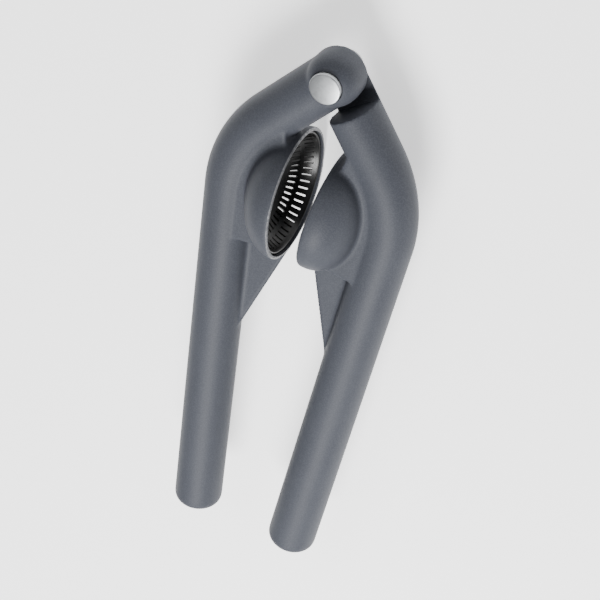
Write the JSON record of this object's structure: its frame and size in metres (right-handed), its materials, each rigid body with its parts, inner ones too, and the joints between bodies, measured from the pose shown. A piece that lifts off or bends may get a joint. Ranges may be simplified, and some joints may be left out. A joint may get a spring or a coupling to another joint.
{
  "type": "garlic press",
  "caption": "Hand garlic press: two cast levers on a riveted lap pivot, a round cup with a perforated sieve on one and a domed plunger on the other.",
  "frame": {"origin": "middle of the underside of the whole press, lying flat", "axes": "+Z along the pivot's axis, towards the rivet's head; +Y from the handles to the pivot; the cup lever is on the -X side"},
  "size_m": [0.0652, 0.1811, 0.04],
  "materials": {
    "cast_alloy": "matte shot-blasted grey casting",
    "sieve_steel": "satin stainless sheet",
    "rivet_steel": "fine turned stainless steel",
    "bush_bronze": "plain bearing bronze",
    "washer_nylon": "plain nylon"
  },
  "bodies": {
    "cup_side": {"cup_lever": "cast_alloy", "sieve_basket": "sieve_steel", "pivot_rivet": "rivet_steel", "rivet_cap": "rivet_steel"},
    "plunger_side": {"plunger_lever": "cast_alloy", "pivot_bush": "bush_bronze", "lap_washer": "washer_nylon"}
  },
  "joints": [
    {"name": "lever_pivot", "type": "hinge", "parent": "cup_side", "child": "plunger_side", "pos_m": [0, 0.08258, 0.02], "axis": [0, 0, 1], "range_deg": [-6, 120]}
  ]
}
